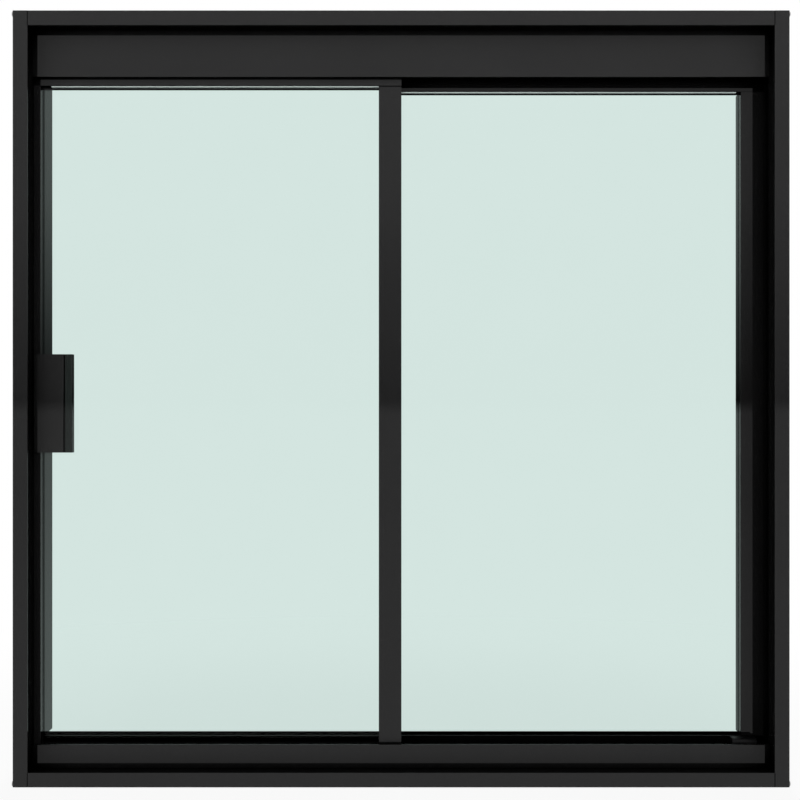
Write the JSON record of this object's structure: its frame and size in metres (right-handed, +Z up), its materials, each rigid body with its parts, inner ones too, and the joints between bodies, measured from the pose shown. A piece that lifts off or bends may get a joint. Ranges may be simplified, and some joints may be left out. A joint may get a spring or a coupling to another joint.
{
  "type": "horizontal sliding window",
  "caption": "Black aluminium horizontal sliding window: box frame, tinted sliding sash with a pull handle on a roller track, and a fixed light behind it.",
  "frame": {"origin": "centre of the underside of the sill", "axes": "+X to the right as seen from the room, +Y to the outside, +Z up; the room side faces -Y"},
  "size_m": [1, 0.112, 1],
  "materials": {
    "black_aluminium": "satin black powder coat on extruded aluminium",
    "handle_black": "satin black powder coat on die-cast metal",
    "tinted_glass": "clear float glass with a pale green tint",
    "black_rubber": "black glazing gasket",
    "black_plastic": "moulded black plastic",
    "white_nylon": "moulded nylon",
    "brush_pile": "woven pile weather strip",
    "steel": "zinc-plated steel"
  },
  "bodies": {
    "frame": {"left_jamb": "black_aluminium", "right_jamb": "black_aluminium", "head_frame": "black_aluminium", "sill_frame": "black_aluminium", "head_track": "black_aluminium", "sill_track": "black_aluminium", "left_jamb_liner": "black_aluminium", "fixed_jamb_stile": "black_aluminium", "fixed_meeting_stile": "black_aluminium", "fixed_top_rail": "black_aluminium", "fixed_bottom_rail": "black_aluminium", "fixed_glass": "tinted_glass", "fixed_front_gasket": "black_rubber", "fixed_rear_gasket": "black_rubber", "fixed_setting_blocks": "black_plastic", "fixed_interlock": "black_aluminium", "head_brush_seal": "brush_pile", "sill_brush_seal": "brush_pile", "latch_keeper": "steel", "sash_stop": "black_plastic", "drain_covers": "black_plastic"},
    "sash": {"sash_lock_stile": "black_aluminium", "sash_meeting_stile": "black_aluminium", "sash_top_rail": "black_aluminium", "sash_bottom_rail": "black_aluminium", "sash_glass": "tinted_glass", "sash_front_gasket": "black_rubber", "sash_rear_gasket": "black_rubber", "sash_setting_blocks": "black_plastic", "sash_interlock": "black_aluminium", "left_roller_housing": "steel", "left_roller_wheel": "white_nylon", "left_roller_axle": "steel", "right_roller_housing": "steel", "right_roller_wheel": "white_nylon", "right_roller_axle": "steel", "top_guide_blocks": "black_plastic", "handle_plate": "handle_black", "handle_grip": "handle_black", "handle_screws": "steel", "latch_bolt": "steel"}
  },
  "joints": [
    {"name": "sash_slide", "type": "slide", "parent": "frame", "child": "sash", "axis": [1, 0, 0], "range_m": [0, 0.429]}
  ]
}
